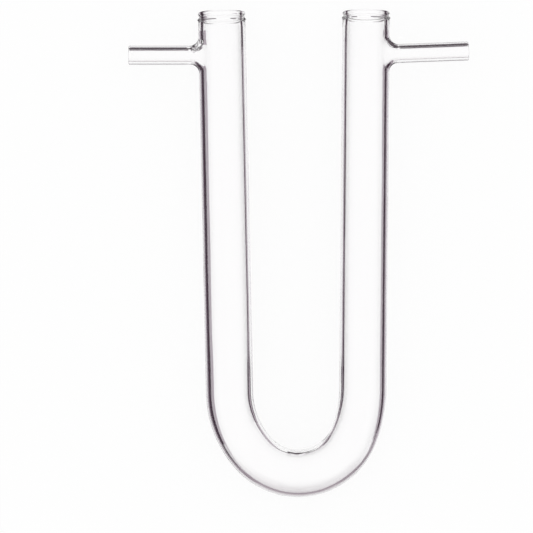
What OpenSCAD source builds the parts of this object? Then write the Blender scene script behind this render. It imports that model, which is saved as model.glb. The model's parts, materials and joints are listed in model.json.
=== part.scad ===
// U-shaped drying tube, drawn from one length of glass tubing: two legs, a bend drawn out by
// hand, a tooled lip on each mouth and a small side arm blown into each leg. It lies on its
// side. Millimetres, +Z up, mouths towards +Y. The origin is under the middle of the outline.

/* [Tubing] */
// Outside diameter of the U tube
tube_d = 20; // [16:0.5:26]
// Wall thickness of the U tube
tube_wall = 2; // [1.2:0.1:2.4]

/* [Legs] */
// Straight length of the left leg, from the bend to the mouth
left_leg_len = 161.3; // [100:0.1:240]
// Straight length of the right leg, from the bend to the mouth
right_leg_len = 159.7; // [100:0.1:240]
// Outward lean of the left leg, in degrees
left_lean = 1.2; // [0:0.1:4]
// Outward lean of the right leg, in degrees
right_lean = 0.5; // [0:0.1:4]

/* [Bend] */
// Centreline radius at the bottom of the bend
bend_r = 25.3; // [20:0.1:45]
// Centreline radius where the bend runs into the left leg
left_ease_r = 39.8; // [28:0.1:80]
// Angle of the bend that has the left radius, in degrees
left_ease_angle = 41; // [10:1:60]
// Centreline radius where the bend runs into the right leg
right_ease_r = 55.8; // [28:0.1:80]
// Angle of the bend that has the right radius, in degrees
right_ease_angle = 21; // [10:1:60]

/* [Mouths] */
// Radius of the fire-polished edges of each mouth
lip_edge_r = 0.65; // [0.2:0.05:0.65]
// Radius of the tooled groove under each lip
groove_r = 1.1; // [0.8:0.1:1.4]
// Depth of the tooled groove under each lip
groove_depth = 0.35; // [0.1:0.05:0.6]
// Section radius of the ridge below the groove
ridge_r = 0.5; // [0.3:0.05:0.8]
// Height that the ridge stands proud of the tube
ridge_proud = 0.35; // [0.1:0.05:0.6]
// Distance of the left ridge from its mouth
left_ridge_drop = 3.3; // [2.6:0.1:5]
// Distance of the right ridge from its mouth
right_ridge_drop = 2.7; // [2.6:0.1:5]

/* [Side arms] */
// Outside diameter of the side arms
arm_d = 8; // [6:0.5:10]
// Wall thickness of the side arms
arm_wall = 1.4; // [0.8:0.1:1.6]
// Distance of each side arm's axis from the mouth of its leg
arm_drop = 18.3; // [16:0.1:50]
// Length of the left arm, from the axis of its leg to its open end
left_arm_len = 39.7; // [30:0.1:70]
// Length of the right arm, from the axis of its leg to its open end
right_arm_len = 43.5; // [30:0.1:70]
// Rise of the left arm towards its open end, in degrees
left_arm_rise = 0; // [-4:0.1:4]
// Rise of the right arm towards its open end, in degrees
right_arm_rise = 2.1; // [-4:0.1:4]
// Radius of the fire-polished edges of each arm's open end
arm_edge_r = 0.5; // [0.2:0.05:0.5]
// Radius of the blown seal that blends each arm into its leg
seal_r = 4; // [2:0.1:6]

/* [Hidden] */

LEFT = -1;
RIGHT = 1;
SIDES = [LEFT, RIGHT];
GLASS = [0.88, 0.90, 0.94, 0.45];
ROUND = 96;
// What is cut away runs this far past the faces that it cuts
PAST = 2;
// Each arc of the bend laps into the tube above it, and is drawn thinner than that in radius, so
// that no two round surfaces coincide
LAP = 0.4;
DRAWN = 0.06;
// The most of a wall's thickness that a fire-polished edge can take on each side
EDGE_SHARE = 0.45;
// Facets round each seal, and from the arm to the leg
SEAL_TURNS = 48;
SEAL_STEPS = 7;
// The seal's surface dips this far into leg and arm, so that it crosses them at a clear line
SEAL_DIP = 0.03;
// Under its seal an arm is this much larger in radius, outside and inside, and for COLLAR_PAST
// beyond, so that the rest of the arm is a clean cylinder. It widens by COLLAR_TAPER to the leg
COLLAR = 0.06;
COLLAR_PAST = 0.5;
COLLAR_TAPER = 0.1;

tube_r = tube_d / 2;
bore_r = tube_r - tube_wall;
arm_r = arm_d / 2;
arm_bore_r = arm_r - arm_wall;
lip_edge = min(lip_edge_r, EDGE_SHARE * tube_wall);
arm_edge = min(arm_edge_r, EDGE_SHARE * arm_wall);
inner_seal_r = seal_r + (tube_wall + arm_wall) / 2;
low_r = tube_r - 2 * DRAWN;
rest_h = tube_r + ridge_proud;

function leg_len(side) = side == LEFT ? left_leg_len : right_leg_len;
function lean(side) = side == LEFT ? left_lean : right_lean;
function ease_r(side) = side == LEFT ? left_ease_r : right_ease_r;
function ease_angle(side) = side == LEFT ? left_ease_angle : right_ease_angle;
function ridge_drop(side) = side == LEFT ? left_ridge_drop : right_ridge_drop;
function arm_len(side) = side == LEFT ? left_arm_len : right_arm_len;
function arm_rise(side) = side == LEFT ? left_arm_rise : right_arm_rise;

// The centreline starts at the lowest point of the bend, and turns up into each leg
function sweep_angle(side) = 90 - lean(side) - ease_angle(side);
function heading(side, turned) = [side * cos(turned), sin(turned)];
function inward(side, turned) = [-side * sin(turned), cos(turned)];
function sweep_end(side) = [0, bend_r] - bend_r * inward(side, sweep_angle(side));
function ease_centre(side) = sweep_end(side) + ease_r(side) * inward(side, sweep_angle(side));
function leg_start(side) = ease_centre(side) - ease_r(side) * inward(side, 90 - lean(side));
function leg_way(side) = heading(side, 90 - lean(side));
function mouth(side) = leg_start(side) + leg_len(side) * leg_way(side);
function arm_root(side) = mouth(side) - arm_drop * leg_way(side);
function arm_way(side) = heading(side, arm_rise(side));
function arm_end(side) = arm_root(side) + arm_len(side) * arm_way(side);

// The angle that LAP spans along an arc of the centreline
function lap_angle(arc_r) = asin(LAP / arc_r);

// The outline's own limits put its middle over the origin
function arm_reach(side) = side * arm_end(side)[0] + (arm_r - arm_edge) * abs(sin(arm_rise(side)));
function mouth_reach(side) = mouth(side)[1] + (tube_r - lip_edge) * abs(sin(lean(side)));
middle_x = (arm_reach(RIGHT) - arm_reach(LEFT)) / 2;
middle_y = (max([for (side = SIDES) mouth_reach(side)]) - low_r) / 2;

// The seal is the surface that a ball leaves as it rolls in the corner between leg and arm.
// Here x points out of the leg, z along the leg to its mouth, and the arm rises by tilt. The
// ball's centre stays leg_off away from the leg's axis, and arm_off from the arm's.
function seal_tilt(side) = lean(side) + arm_rise(side);
function collar_end(side) =
    (tube_r + seal_r + (arm_r + seal_r) * abs(sin(seal_tilt(side)))) / cos(seal_tilt(side))
    + COLLAR_PAST;
function along(tilt) = [cos(tilt), 0, sin(tilt)];
function around(turn, tilt) = [-cos(turn) * sin(tilt), sin(turn), cos(turn) * cos(tilt)];
function ball_out(leg_off, arm_off, turn) = sqrt(leg_off * leg_off - pow(arm_off * sin(turn), 2));
function ball_along(leg_off, arm_off, turn, tilt) =
    (ball_out(leg_off, arm_off, turn) + arm_off * cos(turn) * sin(tilt)) / cos(tilt);
function ball_centre(leg_off, arm_off, turn, tilt) =
    ball_along(leg_off, arm_off, turn, tilt) * along(tilt) + arm_off * around(turn, tilt);
function to_leg(centre) = -[centre[0], centre[1], 0] / norm([centre[0], centre[1]]);
function between(from, to, share) =
    let (angle = acos(from * to))
    (sin((1 - share) * angle) * from + sin(share * angle) * to) / sin(angle);

// One row of the seal's points, from the arm down to the leg
function seal_row(leg_off, arm_off, ball_r, turn, tilt) =
    let (centre = ball_centre(leg_off, arm_off, turn, tilt))
    [
        for (step = [0:SEAL_STEPS])
            centre + ball_r * between(-around(turn, tilt), to_leg(centre), step / SEAL_STEPS)
    ];

// A solid that fills the corner between a leg and an arm of the given radii, all the way round
module seal(leg_rad, arm_rad, ball_r, tilt) {
    leg_off = leg_rad + ball_r - SEAL_DIP;
    arm_off = arm_rad + ball_r - SEAL_DIP;
    rows = [
        for (i = [0:SEAL_TURNS - 1])
            seal_row(leg_off, arm_off, ball_r, 360 * i / SEAL_TURNS, tilt)
    ];
    per_row = len(rows[0]);
    leg_point = SEAL_TURNS * per_row;
    arm_point = leg_point + 1;
    points = [for (row = rows) each row, [0, 0, 0], leg_off * along(tilt)];
    skin = [
        for (i = [0:SEAL_TURNS - 1])
            for (step = [0:per_row - 2])
                let (here = i * per_row + step)
                let (next = ((i + 1) % SEAL_TURNS) * per_row + step)
                each [[here, next + 1, next], [here, here + 1, next + 1]]
    ];
    ends = [
        for (i = [0:SEAL_TURNS - 1])
            let (here = i * per_row)
            let (next = ((i + 1) % SEAL_TURNS) * per_row)
            let (last = per_row - 1)
            each [[here, next, arm_point], [next + last, here + last, leg_point]]
    ];
    polyhedron(points = points, faces = concat(skin, ends), convexity = 4);
}

// Children drawn along +Z are laid along the leg, with z = 0 at its mouth
module at_mouth(side) {
    translate([mouth(side)[0], mouth(side)[1], 0])
        rotate([0, 0, -side * lean(side)])
            rotate([-90, 0, 0])
                children();
}

// Children drawn along +Z are laid along the arm, with z = 0 on the axis of its leg
module at_arm(side) {
    translate([arm_root(side)[0], arm_root(side)[1], 0])
        rotate([0, 0, side * arm_rise(side)])
            rotate([0, side * 90, 0])
                children();
}

// Children drawn with x out of the leg and z along it are set where the arm leaves the leg
module at_seal(side) {
    translate([arm_root(side)[0], arm_root(side)[1], 0])
        rotate([0, 0, -side * lean(side)])
            rotate([-90, 0, 0])
                rotate([0, 0, side == LEFT ? 180 : 0])
                    children();
}

// A round bar of radius r along an arc of the centreline
module arc_bar(centre, arc_r, from_angle, to_angle, r) {
    translate([centre[0], centre[1], 0])
        rotate([0, 0, from_angle])
            rotate_extrude(angle = to_angle - from_angle, $fn = ROUND)
                translate([arc_r, 0])
                    circle(r = r, $fn = ROUND);
}

// The wider start of an arm or of its bore, from the axis of the leg to just past the seal
module collar(side, r) {
    cylinder(h = collar_end(side), r1 = r + COLLAR + COLLAR_TAPER, r2 = r + COLLAR, $fn = ROUND);
}

// The whole bend as a round bar, for legs of radius r
module bend_bar(r) {
    low = 270;
    left_low = low - sweep_angle(LEFT);
    right_low = low + sweep_angle(RIGHT);
    left_high = left_low - ease_angle(LEFT) - lap_angle(left_ease_r);
    right_high = right_low + ease_angle(RIGHT) + lap_angle(right_ease_r);
    low_lap = lap_angle(bend_r);
    arc_bar([0, bend_r], bend_r, left_low - low_lap, right_low + low_lap, r - 2 * DRAWN);
    arc_bar(ease_centre(LEFT), left_ease_r, left_high, left_low, r - DRAWN);
    arc_bar(ease_centre(RIGHT), right_ease_r, right_low, right_high, r - DRAWN);
}

// Half section of a bar of radius r, from y = -len up to a rounded end at y = 0
module rounded_end(r, len, edge_r) {
    translate([0, -len])
        square([r, len - edge_r]);
    translate([0, -edge_r - PAST])
        square([r - edge_r, edge_r + PAST]);
    translate([r - edge_r, -edge_r])
        circle(r = edge_r, $fn = ROUND);
}

// Half section of a hole of radius r, from y = -len up to a rounded mouth at y = 0
module rounded_mouth(r, len, edge_r) {
    translate([0, -len])
        square([r, len + PAST]);
    difference() {
        translate([0, -edge_r])
            square([r + edge_r, edge_r + PAST]);
        translate([r + edge_r, -edge_r])
            circle(r = edge_r, $fn = ROUND);
    }
}

// Half section of a leg with its lip, the tooled groove and the ridge below it
module leg_section(side) {
    groove_y = -(ridge_drop(side) + lip_edge) / 2;
    difference() {
        rounded_end(tube_r, leg_len(side), lip_edge);
        translate([tube_r + groove_r - groove_depth, groove_y])
            circle(r = groove_r, $fn = ROUND);
    }
    translate([tube_r + ridge_proud - ridge_r, -ridge_drop(side)])
        circle(r = ridge_r, $fn = ROUND);
}

// Everything that the glass encloses, as one solid
module outside() {
    bend_bar(tube_r);
    for (side = SIDES) {
        at_mouth(side)
            rotate_extrude($fn = ROUND)
                leg_section(side);
        at_arm(side) {
            collar(side, arm_r);
            translate([0, 0, arm_len(side)])
                rotate_extrude($fn = ROUND)
                    rounded_end(arm_r, arm_len(side), arm_edge);
        }
        at_seal(side)
            seal(tube_r, arm_r + COLLAR, seal_r, seal_tilt(side));
    }
}

// The way through the glass, from mouth to mouth and out of both arms
module inside() {
    bend_bar(bore_r);
    for (side = SIDES) {
        at_mouth(side)
            rotate_extrude($fn = ROUND)
                rounded_mouth(bore_r, leg_len(side), lip_edge);
        at_arm(side) {
            collar(side, arm_bore_r);
            translate([0, 0, arm_len(side)])
                rotate_extrude($fn = ROUND)
                    rounded_mouth(arm_bore_r, arm_len(side), arm_edge);
        }
        at_seal(side)
            seal(bore_r, arm_bore_r + COLLAR, inner_seal_r, seal_tilt(side));
    }
}

// The whole drying tube, one piece of clear glass, lying on its two ridges and its bend
module glass_tube() {
    color(GLASS)
        translate([-middle_x, -middle_y, rest_h])
            difference() {
                outside();
                inside();
            }
}

glass_tube();
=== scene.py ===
"""Looks of the U-shaped glass drying tube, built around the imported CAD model. Metres, +Z up.

The tube is one smooth mesh: an outer skin and a bore skin swept along the same centreline, joined
over the lips, with both side arms blended in by the surface that a rolling ball leaves.
"""

import json
import math

import bmesh
import bpy
import numpy as np
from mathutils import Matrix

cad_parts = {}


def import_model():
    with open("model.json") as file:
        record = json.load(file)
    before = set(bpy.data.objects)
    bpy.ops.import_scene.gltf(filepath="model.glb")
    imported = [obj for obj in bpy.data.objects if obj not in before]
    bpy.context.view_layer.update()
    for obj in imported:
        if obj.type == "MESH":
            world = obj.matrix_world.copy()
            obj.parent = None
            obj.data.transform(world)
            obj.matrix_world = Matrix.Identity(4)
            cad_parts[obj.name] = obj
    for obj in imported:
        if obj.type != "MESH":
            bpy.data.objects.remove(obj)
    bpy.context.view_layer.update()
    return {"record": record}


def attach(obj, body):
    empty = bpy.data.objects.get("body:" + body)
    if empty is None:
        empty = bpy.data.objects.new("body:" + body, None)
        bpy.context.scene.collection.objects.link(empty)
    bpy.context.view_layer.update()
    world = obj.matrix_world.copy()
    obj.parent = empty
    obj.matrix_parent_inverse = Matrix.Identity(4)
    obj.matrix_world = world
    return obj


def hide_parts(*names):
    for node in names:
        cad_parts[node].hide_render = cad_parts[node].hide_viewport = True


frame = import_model()

MM = 0.001
UP = np.array([0.0, 0.0, 1.0])

# How far inside its open end each mount's point lies
MOUTH_MOUNT_IN = 1 * MM
ARM_MOUNT_IN = 10 * MM

# The bend: centreline radius and angle of the arc under each leg, and the radius between them
LEFT_EASE_R, LEFT_EASE_ANGLE = 39.8 * MM, math.radians(41)
RIGHT_EASE_R, RIGHT_EASE_ANGLE = 55.8 * MM, math.radians(21)
BEND_R = 25.3 * MM
# How much thinner the drawn wall is than at the mouths, and how far below them it gets so
THINNER, THINNER_FROM, THINNER_TO = 0.2 * MM, 3 * MM, 7 * MM
# Where the wall was drawn thinner still or kept thicker: middle and reach as angles round the bend
# from its right side, and how much wider the bore is there
BEND_WAVES = (28, 28, 0.5 * MM), (108, 40, -0.15 * MM), (181, 50, -0.25 * MM)
# The last of them goes on up the left leg, as far as this
LEG_WAVE, LEG_WAVE_REACH = {"left": -0.25 * MM, "right": 0}, 30 * MM

# Lips: fire-polished edge, tooled groove, and the ridge below it
LIP_EDGE = 0.65 * MM
GROOVE_DEPTH, GROOVE_HALF = 0.35 * MM, 1.0 * MM
RIDGE_PROUD, RIDGE_HALF = 0.35 * MM, 0.7 * MM
RIDGE_DROP = {"left": 3.3 * MM, "right": 2.7 * MM}
# The lip's own rings reach this far below the mouth
LIP_END = 5 * MM

# Side arms: bore, and rounded end
ARM_BORE_R = 2.6 * MM
ARM_EDGE = 0.5 * MM

# Ball radius of the seals, outside and in the bore: on the mouth's side of the arm, over its flanks,
# and on the bend's side. The power says how late the flanks take over
SEAL = {"left": (3.8 * MM, 10 * MM, 3.8 * MM), "right": (3.8 * MM, 10 * MM, 3.8 * MM)}
INNER_SEAL = {"left": (3 * MM, 9 * MM, 5 * MM), "right": (5 * MM, 9 * MM, 5 * MM)}
SEAL_POWER = 4

# Mesh density: vertices round the tube, the patch that holds each arm, and steps between rings
AROUND = 112
PATCH_COLUMNS = 15
PATCH_ROWS = 32
PATCH_HALF = 12 * MM
LIP_STEP = 0.14 * MM
LEG_STEP = 4.4 * MM
BEND_STEP = 1.2 * MM
SEAL_STEPS = 12
BLEND_STEPS = 6
ARM_STEP = 1.5 * MM
EDGE_STEPS = 8
# Vertices this close are one
SAME_PLACE = 0.0001 * MM

# The glass: two tints that it wanders between, and the waves left by drawing it
GLASS_TINTS = (0.997, 0.995, 0.996, 1), (0.987, 0.983, 0.986, 1)
GLASS_INDEX = 1.47
WAVE_LENGTH, WAVE_HEIGHT, WAVE_STRETCH = 7 * MM, 0.05 * MM, (1, 0.25, 1)

# The floor's grey, and the share of it that shows
FLOOR_GREY, FLOOR_SHARE = (0.9, 0.9, 0.9, 1), 0.07
FLOOR_HALF = 4

# What is seen through the glass below the floor: two glowing boards, each with its height, its
# corners, and how its light falls off. Their painted light and shade, white in the middle and mauve
# and then dark towards the sides, is what gives the glass its dark edge lines; they light nothing
# else. A fade is (way, from, to, value at from, value at to). A share is a product of fades, and the
# largest share counts. The near board also dims along one fade, which is painted shade too
NEAR_BOARD = {
    "height": -0.20,
    "span": ((-0.24, -0.42), (0.24, 0.115)),
    "shares": (
        (
            ((-1, 0), 0.072, 0.188, 1, 0),
            ((1, 0), 0.081, 0.234, 1, 0),
        ),
        (
            ((1, 0), 0.080, 0.120, 0, 0.5),
            ((0, -1), 0.100, 0.150, 0, 1),
        ),
        (((0, -1), 0.225, 0.285, 0, 1),),
    ),
    "dims": ((0, -1), 0.125, 0.290, 0, 0.8),
}
FAR_BOARD = {
    "height": -0.55,
    "span": ((-0.7, -0.05), (0.7, 0.60)),
    "shares": (
        (
            ((-1, 0), 0.330, 0.430, 1, 0),
            ((1, 0), 0.320, 0.420, 1, 0),
            ((0, 1), 0.290, 0.335, 1, 0),
        ),
    ),
    "dims": None,
}
# White boards below the mouths, level with the near board: painted light that glows for the glass
# to show through its mouths
MOUTH_BOARDS = ((-0.051, 0.10), (-0.016, 0.30)), ((0.015, 0.10), (0.048, 0.30))
# Light of the boards, by share: dark, then mauve, then white. A dimmed board is multiplied by DIM
DARK, MAUVE, WHITE = (0.05, 0.03, 0.045, 1), (0.43, 0.37, 0.42, 1), (1, 1, 1, 1)
DIM = (0.15, 0.08, 0.13, 1)
SHADES = (0, DARK), (0.25, DARK), (0.29, MAUVE), (0.8, MAUVE), (0.84, WHITE)
# Light from all round, by elevation, for what is seen through the glass or mirrored in it
HAZE = (0.8, 0.8, 0.8, 1)
SKY = (-90, DARK), (-40, DARK), (-34, HAZE), (10, HAZE), (40, WHITE), (90, WHITE)
# Dark cards that stand round the tube below the floor, each from one corner to another. They are
# painted shade, seen only through the glass, that darkens its edges
CARDS = ((-0.9, -0.6), (-0.9, 0.9)), ((-0.9, 0.9), (0.3, 0.9)), ((0.9, 0.3), (0.9, -0.4))
CARD_LOW, CARD_HIGH = -0.85, -0.14
# A dark card below the middle of the bend, which its inner side shows: painted shade for the dark
# line along the inside of the bend
BEND_SHADE_CARD = (-0.0035, -0.0635), (0.002, -0.0635), (0.0045, -0.05), (0, -0.042), (-0.0045, -0.05)
BEND_SHADE_CARD_HEIGHT = -0.02

# The camera looks straight down
CAMERA_PLACE = -0.01364, -0.00528, 1.095
CAMERA_LENS, SENSOR_WIDTH, VIEW_END = 172.9, 36, 50


def unit(v):
    return v / np.linalg.norm(v)


def smooth_bump(x):
    """1 at x = 0, falling smoothly to 0 at x = 1 and x = -1."""
    return (1 + np.cos(np.pi * np.clip(x, -1, 1))) / 2


def steps_between(start, end, step):
    """Evenly spaced values after start, up to and with end, about step apart."""
    count = max(1, round(abs(end - start) / step))
    return [start + (end - start) * i / count for i in range(1, count + 1)]


# ---------------------------------------------------------------- places from the frame

MOUNTS = {m["name"]: m for m in frame["record"]["mounts"]}
TUBE_R = MOUNTS["left_leg_grip"]["dims"]["r_mm"] * MM
BORE_R = MOUNTS["left_mouth"]["dims"]["r_mm"] * MM
ARM_R = MOUNTS["left_arm"]["dims"]["r_mm"] * MM
DRAWN_BORE_R = BORE_R + THINNER


class Leg:
    """A leg's axis and its arm's, from their mounts."""

    def __init__(self, side):
        bore, pin = MOUNTS[f"{side}_mouth"], MOUNTS[f"{side}_arm"]
        self.side = side
        self.way = unit(np.array(bore["axis"], float))
        self.mouth = np.array(bore["pos_m"], float) + MOUTH_MOUNT_IN * self.way
        self.length = bore["dims"]["length_mm"] * MM + LIP_EDGE
        self.arm_way = unit(np.array(pin["axis"], float))
        self.arm_tip = np.array(pin["pos_m"], float) + ARM_MOUNT_IN * self.arm_way
        self.out = unit(self.arm_way - (self.arm_way @ self.way) * self.way)
        self.tilt = math.asin(self.arm_way @ self.way)
        to_tip = self.arm_tip - self.mouth
        self.arm_length = (to_tip @ self.out) / math.cos(self.tilt)
        self.root = self.arm_tip - self.arm_length * self.arm_way
        self.arm_drop = (self.mouth - self.root) @ self.way

    def at(self, drop):
        return self.mouth - drop * self.way


LEFT, RIGHT = Leg("left"), Leg("right")


# ---------------------------------------------------------------- mesh building

class Skin:
    """Vertices in rings, and the quads between them."""

    def __init__(self):
        self.points, self.quads, self.count = [], [], 0

    def ring(self, points):
        self.points.append(np.asarray(points))
        first, self.count = self.count, self.count + len(points)
        return np.arange(first, self.count)

    def bridge(self, one, other, skip=()):
        size = len(one)
        for j in range(size):
            if j not in skip:
                k = (j + 1) % size
                self.quads.append((one[j], one[k], other[k], other[j]))


def circle(centre, out, radius):
    turn = np.arange(AROUND) * 2 * np.pi / AROUND
    return centre + radius * (np.outer(np.cos(turn), out) + np.outer(np.sin(turn), UP))


def patch_rows(leg):
    return [
        leg.arm_drop + PATCH_HALF * (2 * i / PATCH_ROWS - 1) for i in range(PATCH_ROWS + 1)
    ]


def outer_radius(leg, drop):
    """The lip's outside, below its rounded edge."""
    ridge = RIDGE_DROP[leg.side]
    groove = (ridge + LIP_EDGE) / 2
    return (
        TUBE_R
        - GROOVE_DEPTH * smooth_bump((drop - groove) / GROOVE_HALF)
        + RIDGE_PROUD * smooth_bump((drop - ridge) / RIDGE_HALF)
    )


def leg_drops(leg):
    """Distances from the mouth of the rings below the lip, the patch round the arm among them."""
    rows = patch_rows(leg)
    return (
        steps_between(LIP_END, rows[0], ARM_STEP)[:-1]
        + rows
        + steps_between(rows[-1], leg.length, LEG_STEP)
    )


def outer_stations(leg):
    """(centre, out, radius) from the top of the lip down the outside of a leg."""
    found = []
    for i in range(EDGE_STEPS + 1):
        a = math.pi / 2 * i / EDGE_STEPS
        drop = LIP_EDGE * (1 - math.sin(a))
        found.append((leg.at(drop), leg.out, TUBE_R - LIP_EDGE * (1 - math.cos(a))))
    found.reverse()
    for drop in steps_between(LIP_EDGE, LIP_END, LIP_STEP):
        found.append((leg.at(drop), leg.out, outer_radius(leg, drop)))
    for drop in leg_drops(leg):
        found.append((leg.at(drop), leg.out, TUBE_R))
    return found


def bore_stations(leg):
    """The same for the bore, from the inner side of the lip's top."""
    found = []
    for i in range(EDGE_STEPS + 1):
        a = math.pi / 2 * i / EDGE_STEPS
        drop = LIP_EDGE * (1 - math.cos(a))
        found.append((leg.at(drop), leg.out, BORE_R + LIP_EDGE * (1 - math.sin(a))))
    for drop in steps_between(LIP_EDGE, LIP_END, BEND_STEP) + leg_drops(leg):
        thinner = 1 - smooth_bump(max(drop - THINNER_FROM, 0) / (THINNER_TO - THINNER_FROM))
        wave = LEG_WAVE[leg.side] * smooth_bump((leg.length - drop) / LEG_WAVE_REACH)
        found.append((leg.at(drop), leg.out, BORE_R + thinner * THINNER + wave))
    return found


def bend_stations(radius, waves=()):
    """(centre, out, radius) along the three arcs, after the left leg and before the right one."""
    turned = math.acos(np.clip(-LEFT.way @ RIGHT.way, -1, 1))
    middle = turned - LEFT_EASE_ANGLE - RIGHT_EASE_ANGLE
    arcs = ((LEFT_EASE_R, LEFT_EASE_ANGLE), (BEND_R, middle), (RIGHT_EASE_R, RIGHT_EASE_ANGLE))
    point, out = LEFT.at(LEFT.length), LEFT.out
    found = []
    for arc_r, angle in arcs:
        centre = point - arc_r * out
        start = math.atan2(out[1], out[0])
        for a in steps_between(0, angle, BEND_STEP / arc_r):
            out = np.array([math.cos(start + a), math.sin(start + a), 0])
            point = centre + arc_r * out
            round_bend = -math.degrees(math.atan2(out[1], out[0])) % 360
            wave = sum(most * smooth_bump((round_bend - at) / reach) for at, reach, most in waves)
            found.append((point, out, radius + wave))
    return found[:-1]


def hole_columns():
    return set(range(PATCH_COLUMNS)) | set(range(AROUND - PATCH_COLUMNS, AROUND))


def sweep(skin, left, bend, right):
    """One skin from the left mouth to the right, with a hole for each arm. Returns its rings, and
    each hole's loop of vertices by leg."""
    stations = left + bend + right[::-1]
    rings = [skin.ring(circle(*s)) for s in stations]
    holes = {}
    for leg, found in ((LEFT, left), (RIGHT, right)):
        drops = [(leg.mouth - c) @ leg.way for c, _, _ in found]
        rows = patch_rows(leg)
        top = int(np.argmin(np.abs(np.array(drops) - rows[0])))
        bottom = int(np.argmin(np.abs(np.array(drops) - rows[-1])))
        if leg is RIGHT:
            top, bottom = len(stations) - 1 - top, len(stations) - 1 - bottom
        holes[leg] = (top, bottom)
    for i in range(len(rings) - 1):
        inside = any(min(span) <= i < max(span) for span in holes.values())
        skin.bridge(rings[i], rings[i + 1], hole_columns() if inside else ())
    return rings, {leg: hole_loop(rings, *span) for leg, span in holes.items()}


def hole_loop(rings, top, bottom):
    """The hole's vertices, from the middle of its top edge, towards +Z first."""
    step = 1 if bottom > top else -1
    near = list(range(0, PATCH_COLUMNS))
    loop = [rings[top][j] for j in near]
    loop += [rings[i][PATCH_COLUMNS] for i in range(top, bottom, step)]
    loop += [rings[bottom][j % AROUND] for j in range(PATCH_COLUMNS, -PATCH_COLUMNS, -1)]
    loop += [rings[i][-PATCH_COLUMNS] for i in range(bottom, top, -step)]
    loop += [rings[top][j % AROUND] for j in range(-PATCH_COLUMNS, 0)]
    return np.array(loop)


def loop_places():
    """(angle round the leg, height over the arm's axis) of each vertex of a hole's loop."""
    column = 2 * math.pi / AROUND
    row = 2 * PATCH_HALF / PATCH_ROWS
    c, r = PATCH_COLUMNS, PATCH_ROWS
    places = [(j * column, PATCH_HALF) for j in range(c)]
    places += [(c * column, PATCH_HALF - i * row) for i in range(r)]
    places += [(j * column, -PATCH_HALF) for j in range(c, -c, -1)]
    places += [(-c * column, -PATCH_HALF + i * row) for i in range(r)]
    places += [(j * column, PATCH_HALF) for j in range(-c, 0)]
    return np.array(places)


PLACES = loop_places()
TURNS = np.arctan2(TUBE_R * PLACES[:, 0], PLACES[:, 1])


class Corner:
    """The corner between a leg and its arm, as the path of a ball that rolls round it.

    Local axes: x out of the leg, y up, z along the leg to its mouth.
    """

    def __init__(self, leg, leg_r, arm_r, ball_radii):
        self.leg, self.leg_r, self.arm_r = leg, leg_r, arm_r
        top, flank, low = ball_radii
        near = np.where(np.cos(TURNS) > 0, top, low)
        ball_r = near + (flank - near) * np.sin(TURNS) ** SEAL_POWER
        self.ball_r = ball_r[:, None]
        t = leg.tilt
        leg_off, arm_off = leg_r + ball_r, arm_r + ball_r
        self.along = np.array([math.cos(t), 0, math.sin(t)])
        self.around = np.column_stack(
            (-np.cos(TURNS) * math.sin(t), np.sin(TURNS), np.cos(TURNS) * math.cos(t))
        )
        out = np.sqrt(leg_off**2 - (arm_off * np.sin(TURNS)) ** 2)
        self.reach = (out + arm_off * np.cos(TURNS) * math.sin(t)) / math.cos(t)
        self.centres = np.outer(self.reach, self.along) + arm_off[:, None] * self.around
        flat = self.centres * (1, 1, 0)
        self.to_leg = -flat / np.linalg.norm(flat, axis=1)[:, None]

    def world(self, local):
        return (
            self.leg.root
            + np.outer(local[:, 0], self.leg.out)
            + np.outer(local[:, 1], UP)
            + np.outer(local[:, 2], self.leg.way)
        )

    def seal_ring(self, share):
        """share 0 is where the ball touches the leg, and 1 where it touches the arm."""
        to_arm = -self.around
        angle = np.arccos(np.sum(to_arm * self.to_leg, axis=1))
        a = np.sin((1 - share) * angle) / np.sin(angle)
        b = np.sin(share * angle) / np.sin(angle)
        way = a[:, None] * self.to_leg + b[:, None] * to_arm
        return self.world(self.centres + self.ball_r * way)

    def leg_ring(self, share):
        """share 0 is where the ball touches the leg, and 1 the loop of the leg's hole."""
        touch = self.centres + self.ball_r * self.to_leg
        angle = np.arctan2(touch[:, 1], touch[:, 0])
        angle += share * (PLACES[:, 0] - angle)
        height = touch[:, 2] + share * (PLACES[:, 1] - touch[:, 2])
        return self.world(
            np.column_stack((self.leg_r * np.cos(angle), self.leg_r * np.sin(angle), height))
        )

    def arm_ring(self, reach, radius):
        return self.world(np.outer(reach, self.along) + radius * self.around)


def seal_rings(skin, corner, loop):
    """The rings from a leg's hole to the end of the seal on the arm. Returns the last one."""
    last = loop
    for i in range(BLEND_STEPS - 1, 0, -1):
        ring = skin.ring(corner.leg_ring(i / BLEND_STEPS))
        skin.bridge(last, ring)
        last = ring
    for i in range(SEAL_STEPS + 1):
        ring = skin.ring(corner.seal_ring(i / SEAL_STEPS))
        skin.bridge(last, ring)
        last = ring
    return last


def arm(skin, leg, outer_loop, bore_loop):
    """An arm from the hole in the outer skin, round its open end and back to the bore skin's."""
    outer = Corner(leg, TUBE_R, ARM_R, SEAL[leg.side])
    bore = Corner(leg, DRAWN_BORE_R, ARM_BORE_R, INNER_SEAL[leg.side])
    last = seal_rings(skin, outer, outer_loop)
    straight = max(outer.reach.max(), bore.reach.max()) + ARM_STEP
    size = len(TURNS)
    end = leg.arm_length - ARM_EDGE
    rows = [(np.full(size, straight), ARM_R)]
    rows += [(np.full(size, s), ARM_R) for s in steps_between(straight, end, ARM_STEP)]
    for centre_r, first in ((ARM_R - ARM_EDGE, 0), (ARM_BORE_R + ARM_EDGE, math.pi / 2)):
        for i in range(EDGE_STEPS + 1):
            a = first + math.pi / 2 * i / EDGE_STEPS
            reach, radius = end + ARM_EDGE * math.sin(a), centre_r + ARM_EDGE * math.cos(a)
            rows.append((np.full(size, reach), radius))
    rows += [(np.full(size, s), ARM_BORE_R) for s in steps_between(end, straight, ARM_STEP)]
    for reach, radius in rows:
        ring = skin.ring(outer.arm_ring(reach, radius))
        skin.bridge(last, ring)
        last = ring
    skin.bridge(last, seal_rings(skin, bore, bore_loop))


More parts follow.
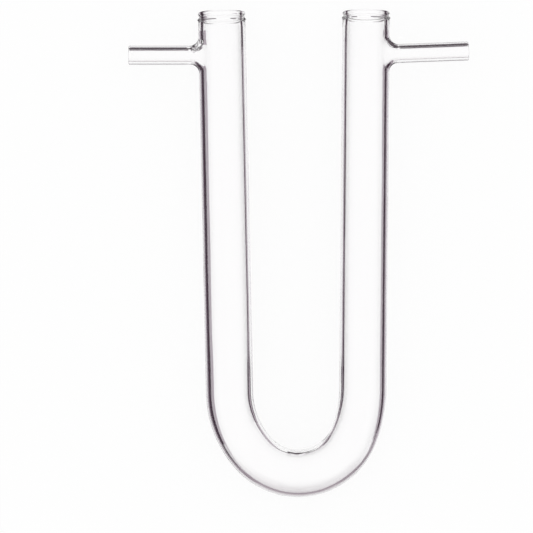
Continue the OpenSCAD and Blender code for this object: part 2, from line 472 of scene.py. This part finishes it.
def glass_mesh():
    skin = Skin()
    outer_rings, outer_holes = sweep(
        skin, outer_stations(LEFT), bend_stations(TUBE_R), outer_stations(RIGHT)
    )
    bore_rings, bore_holes = sweep(
        skin, bore_stations(LEFT), bend_stations(DRAWN_BORE_R, BEND_WAVES), bore_stations(RIGHT)
    )
    skin.bridge(outer_rings[0], bore_rings[0])
    skin.bridge(outer_rings[-1], bore_rings[-1])
    for leg in (LEFT, RIGHT):
        arm(skin, leg, outer_holes[leg], bore_holes[leg])
    mesh = bpy.data.meshes.new("glass_tube")
    mesh.from_pydata(np.vstack(skin.points).tolist(), [], [tuple(map(int, q)) for q in skin.quads])
    bm = bmesh.new()
    bm.from_mesh(mesh)
    bmesh.ops.remove_doubles(bm, verts=bm.verts, dist=SAME_PLACE)
    bmesh.ops.delete(bm, geom=[v for v in bm.verts if not v.link_faces], context="VERTS")
    bmesh.ops.recalc_face_normals(bm, faces=bm.faces)
    bm.to_mesh(mesh)
    bm.free()
    mesh.polygons.foreach_set("use_smooth", [True] * len(mesh.polygons))
    return mesh


# ---------------------------------------------------------------- materials

def new_material(name):
    material = bpy.data.materials.new(name)
    material.use_nodes = True
    return material, material.node_tree.nodes, material.node_tree.links


def bare_material(name):
    """A material with nothing on its surface yet."""
    material, nodes, links = new_material(name)
    nodes.remove(nodes["Principled BSDF"])
    return material, nodes, links


def clear_glass():
    """Borosilicate glass with the faint waves and the faintly uneven tint of a hand-drawn tube."""
    material, nodes, links = new_material("clear_glass")
    shader = nodes["Principled BSDF"]
    place = nodes.new("ShaderNodeTexCoord")
    stretch = nodes.new("ShaderNodeMapping")
    stretch.inputs["Scale"].default_value = WAVE_STRETCH
    links.new(place.outputs["Object"], stretch.inputs["Vector"])
    waves = nodes.new("ShaderNodeTexNoise")
    waves.inputs["Scale"].default_value = 1 / WAVE_LENGTH
    waves.inputs["Detail"].default_value = 1.0
    links.new(stretch.outputs["Vector"], waves.inputs["Vector"])
    bump = nodes.new("ShaderNodeBump")
    bump.inputs["Distance"].default_value = WAVE_HEIGHT
    links.new(waves.outputs["Fac"], bump.inputs["Height"])
    links.new(bump.outputs["Normal"], shader.inputs["Normal"])
    tint = nodes.new("ShaderNodeMix")
    tint.data_type = "RGBA"
    tint.inputs["A"].default_value, tint.inputs["B"].default_value = GLASS_TINTS
    links.new(waves.outputs["Fac"], tint.inputs["Factor"])
    links.new(tint.outputs["Result"], shader.inputs["Base Color"])
    shader.inputs["Roughness"].default_value = 0.0
    shader.inputs["IOR"].default_value = GLASS_INDEX
    shader.inputs["Transmission Weight"].default_value = 1.0
    return material


def floor_material():
    """White for the camera with a share of real light for the shadow, and clear for what is seen
    through the glass, which is lit from below."""
    material, nodes, links = bare_material("floor_white")
    path = nodes.new("ShaderNodeLightPath")
    matte = nodes.new("ShaderNodeBsdfDiffuse")
    matte.inputs["Color"].default_value = FLOOR_GREY
    glow = nodes.new("ShaderNodeEmission")
    white = nodes.new("ShaderNodeMixShader")
    white.inputs["Fac"].default_value = FLOOR_SHARE
    links.new(glow.outputs[0], white.inputs[1])
    links.new(matte.outputs[0], white.inputs[2])
    seen = nodes.new("ShaderNodeMixShader")
    links.new(path.outputs["Is Camera Ray"], seen.inputs["Fac"])
    links.new(matte.outputs[0], seen.inputs[1])
    links.new(white.outputs[0], seen.inputs[2])
    clear = nodes.new("ShaderNodeBsdfTransparent")
    through = nodes.new("ShaderNodeMixShader")
    links.new(glass_ray(nodes, links), through.inputs["Fac"])
    links.new(seen.outputs[0], through.inputs[1])
    links.new(clear.outputs[0], through.inputs[2])
    links.new(through.outputs[0], nodes["Material Output"].inputs["Surface"])
    return material


def math_node(nodes, operation):
    node = nodes.new("ShaderNodeMath")
    node.operation = operation
    return node


def fill_ramp(ramp, stops):
    bands = ramp.color_ramp.elements
    for i, (at, colour) in enumerate(stops):
        stop = bands[i] if i < 2 else bands.new(at)
        stop.position, stop.color = at, colour


def board_material(name, shares, dims):
    """Painted light and shade for the glass to show: white in the middle, mauve and then dark towards
    the board's sides, and dimmer along dims.
    """
    material, nodes, links = bare_material(name)
    place = nodes.new("ShaderNodeNewGeometry")

    def combined(operation, one, other):
        if one is None:
            return other
        both = math_node(nodes, operation)
        links.new(one, both.inputs[0])
        links.new(other, both.inputs[1])
        return both.outputs[0]

    def faded(way, start, end, at_start, at_end):
        along = nodes.new("ShaderNodeVectorMath")
        along.operation = "DOT_PRODUCT"
        links.new(place.outputs["Position"], along.inputs[0])
        along.inputs[1].default_value = (*way, 0)
        fade = nodes.new("ShaderNodeMapRange")
        fade.inputs["From Min"].default_value = start
        fade.inputs["From Max"].default_value = end
        fade.inputs["To Min"].default_value = at_start
        fade.inputs["To Max"].default_value = at_end
        links.new(along.outputs["Value"], fade.inputs["Value"])
        return fade.outputs["Result"]

    most = None
    for fades in shares:
        share = None
        for fade in fades:
            share = combined("MULTIPLY", share, faded(*fade))
        most = combined("MAXIMUM", most, share)
    # The ramp paints light and shade: dark, then mauve, then white
    ramp = nodes.new("ShaderNodeValToRGB")
    fill_ramp(ramp, SHADES)
    links.new(most, ramp.inputs["Fac"])
    light = ramp.outputs["Color"]
    if dims:
        dimmed = nodes.new("ShaderNodeMix")
        dimmed.data_type, dimmed.blend_type = "RGBA", "MULTIPLY"
        dimmed.inputs["B"].default_value = DIM
        links.new(faded(*dims), dimmed.inputs["Factor"])
        links.new(light, dimmed.inputs["A"])
        light = dimmed.outputs["Result"]
    glow = nodes.new("ShaderNodeEmission")
    links.new(light, glow.inputs["Color"])
    links.new(glow.outputs[0], nodes["Material Output"].inputs["Surface"])
    return material


def plain_light(name, colour):
    material, nodes, links = bare_material(name)
    glow = nodes.new("ShaderNodeEmission")
    glow.inputs["Color"].default_value = colour
    links.new(glow.outputs[0], nodes["Material Output"].inputs["Surface"])
    return material


def glass_ray(nodes, links):
    """1 for light that has passed through the glass or glanced off it."""
    path = nodes.new("ShaderNodeLightPath")
    either = math_node(nodes, "MAXIMUM")
    links.new(path.outputs["Is Transmission Ray"], either.inputs[0])
    links.new(path.outputs["Is Glossy Ray"], either.inputs[1])
    return either.outputs[0]


# ---------------------------------------------------------------- set, light and camera

def stage_face(name, corners, material):
    mesh = bpy.data.meshes.new(name)
    mesh.from_pydata(corners, [], [tuple(range(len(corners)))])
    mesh.materials.append(material)
    found = bpy.data.objects.new(name, mesh)
    bpy.context.scene.collection.objects.link(found)
    return found


def level(low, high, height):
    (x0, y0), (x1, y1) = low, high
    return [(x0, y0, height), (x1, y0, height), (x1, y1, height), (x0, y1, height)]


def upright(start, end):
    return [(*start, CARD_LOW), (*end, CARD_LOW), (*end, CARD_HIGH), (*start, CARD_HIGH)]


def only_for_glass(face):
    face.visible_camera = False
    face.visible_diffuse = False
    face.visible_shadow = False


def under_floor():
    """Glowing boards and dark cards, seen only by the glass and lighting nothing: painted light and
    shade, for what gives clear glass its dark edges is that it shows the darkness past the boards."""
    for name, board in (("near_board", NEAR_BOARD), ("far_board", FAR_BOARD)):
        corners = level(*board["span"], board["height"])
        only_for_glass(stage_face(name, corners, board_material(name, board["shares"], board["dims"])))
    # The cards glow dark: painted shade for the glass to show
    dark = plain_light("painted_shade_card", DARK)
    # Painted shade below the bend, seen only through the glass
    card = [(x, y, BEND_SHADE_CARD_HEIGHT) for x, y in BEND_SHADE_CARD]
    only_for_glass(stage_face("bend_shade_card", card, dark))
    for i, ends in enumerate(CARDS):
        only_for_glass(stage_face(f"card_{i}", upright(*ends), dark))
    # Painted light: white glowing boards below the mouths, seen only through the glass
    white = plain_light("painted_light_white", WHITE)
    for i, span in enumerate(MOUTH_BOARDS):
        only_for_glass(stage_face(f"mouth_board_{i}", level(*span, NEAR_BOARD["height"]), white))


def world():
    """White all round, but hazy and then dark for what is seen through the glass lower down."""
    found = bpy.data.worlds.new("studio")
    found.use_nodes = True
    bpy.context.scene.world = found
    nodes, links = found.node_tree.nodes, found.node_tree.links
    white = nodes["Background"]
    white.inputs["Color"].default_value = (1, 1, 1, 1)
    white.inputs["Strength"].default_value = 1.0
    place = nodes.new("ShaderNodeTexCoord")
    split = nodes.new("ShaderNodeSeparateXYZ")
    links.new(place.outputs["Generated"], split.inputs[0])
    spread = nodes.new("ShaderNodeMapRange")
    spread.inputs["From Min"].default_value = -1
    spread.inputs["From Max"].default_value = 1
    links.new(split.outputs["Z"], spread.inputs["Value"])
    ramp = nodes.new("ShaderNodeValToRGB")
    fill_ramp(ramp, [((math.sin(math.radians(up)) + 1) / 2, colour) for up, colour in SKY])
    links.new(spread.outputs["Result"], ramp.inputs["Fac"])
    seen = nodes.new("ShaderNodeBackground")
    links.new(ramp.outputs["Color"], seen.inputs["Color"])
    mix = nodes.new("ShaderNodeMixShader")
    links.new(glass_ray(nodes, links), mix.inputs["Fac"])
    links.new(white.outputs[0], mix.inputs[1])
    links.new(seen.outputs[0], mix.inputs[2])
    links.new(mix.outputs[0], nodes["World Output"].inputs["Surface"])


def camera():
    data = bpy.data.cameras.new("camera")
    data.lens, data.sensor_width = CAMERA_LENS, SENSOR_WIDTH
    data.clip_end = VIEW_END
    found = bpy.data.objects.new("camera", data)
    found.location = CAMERA_PLACE
    bpy.context.scene.collection.objects.link(found)
    bpy.context.scene.camera = found


# ---------------------------------------------------------------- the scene

camera()
world()
bpy.context.scene.view_settings.view_transform = "Standard"
floor_corners = level((-FLOOR_HALF, -FLOOR_HALF), (FLOOR_HALF, FLOOR_HALF), 0)
stage_face("floor", floor_corners, floor_material())
under_floor()

tube_mesh = glass_mesh()
tube_mesh.materials.append(clear_glass())
tube = bpy.data.objects.new("clear_tube", tube_mesh)
bpy.context.scene.collection.objects.link(tube)
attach(tube, "root")
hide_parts("glass_tube")
